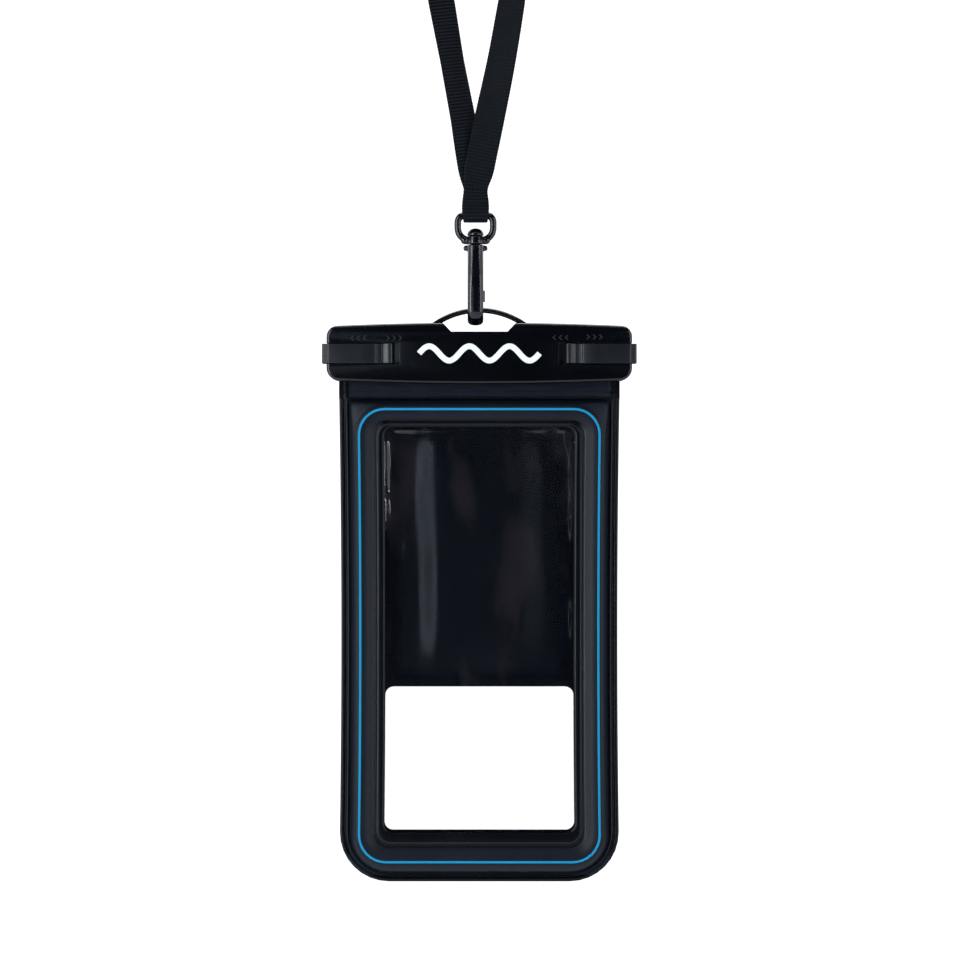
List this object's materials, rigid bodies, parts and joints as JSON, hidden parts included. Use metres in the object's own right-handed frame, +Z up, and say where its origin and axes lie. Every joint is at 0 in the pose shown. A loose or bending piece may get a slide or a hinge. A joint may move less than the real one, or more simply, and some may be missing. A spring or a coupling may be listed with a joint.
{
  "type": "waterproof phone pouch",
  "caption": "Floating waterproof phone pouch with a puffed rim, clear windows, a lever clip and a ribbon neck strap on a swivel snap hook.",
  "frame": {"origin": "top of the neck strap's loop, where it hangs from whatever holds it", "axes": "+Z up along the hanging strap, the clear front faces -Y, +X to the right seen from the front"},
  "size_m": [0.1224, 0.0149, 0.3807],
  "materials": {
    "webbing": "black grosgrain ribbon with fine cross ribs",
    "hardware": "glossy black",
    "spring_steel": "bright steel",
    "clip_plastic": "satin black moulded plastic",
    "lever_plastic": "slate-black moulded plastic",
    "seal_rubber": "soft dark rubber",
    "panel_vinyl": "satin blue-black vinyl, puffed and welded",
    "sheet_vinyl": "glossy black vinyl sheet",
    "clear_film": "clear flexible film",
    "blue_print": "bright blue line",
    "white_print": "white print"
  },
  "bodies": {
    "lanyard": {"neck_strap": "webbing", "swivel_eye": "hardware"},
    "hook": {"hook_body": "hardware", "gate_pin": "hardware", "gate_spring": "spring_steel"},
    "gate": {"hook_gate": "hardware"},
    "pouch": {"rear_clip_bar": "clip_plastic", "front_clip_bar": "clip_plastic", "seal_strip": "seal_rubber", "wave_emblem": "white_print", "left_lever_pin": "spring_steel", "right_lever_pin": "spring_steel", "front_frame": "panel_vinyl", "blue_line": "blue_print", "front_window": "clear_film", "rear_frame": "panel_vinyl", "rear_sheet": "sheet_vinyl", "camera_window": "clear_film"},
    "lever_left": {"left_lever": "lever_plastic"},
    "lever_right": {"right_lever": "lever_plastic"}
  },
  "joints": [
    {"name": "hook_swivel", "type": "hinge", "parent": "lanyard", "child": "hook", "pos_m": [0, 0, -0.1308], "axis": [0, 0, 1], "continuous": true},
    {"name": "gate_hinge", "type": "hinge", "parent": "hook", "child": "gate", "pos_m": [0, 0.0022, -0.142], "axis": [1, 0, 0], "range_deg": [-24, 0], "stiffness_Nm_per_rad": 0.02, "springref_deg": 20.05},
    {"name": "arch_hang", "type": "hinge", "parent": "hook", "child": "pouch", "pos_m": [0, 0, -0.1581], "axis": [1, 0, 0], "range_deg": [-95, 95]},
    {"name": "left_lever_hinge", "type": "hinge", "parent": "pouch", "child": "lever_left", "pos_m": [-0.0548, 0.00315, -0.1751], "axis": [0, 0, 1], "range_deg": [-110, 0]},
    {"name": "right_lever_hinge", "type": "hinge", "parent": "pouch", "child": "lever_right", "pos_m": [0.0578, 0.00315, -0.1751], "axis": [0, 0, 1], "range_deg": [0, 110]}
  ]
}
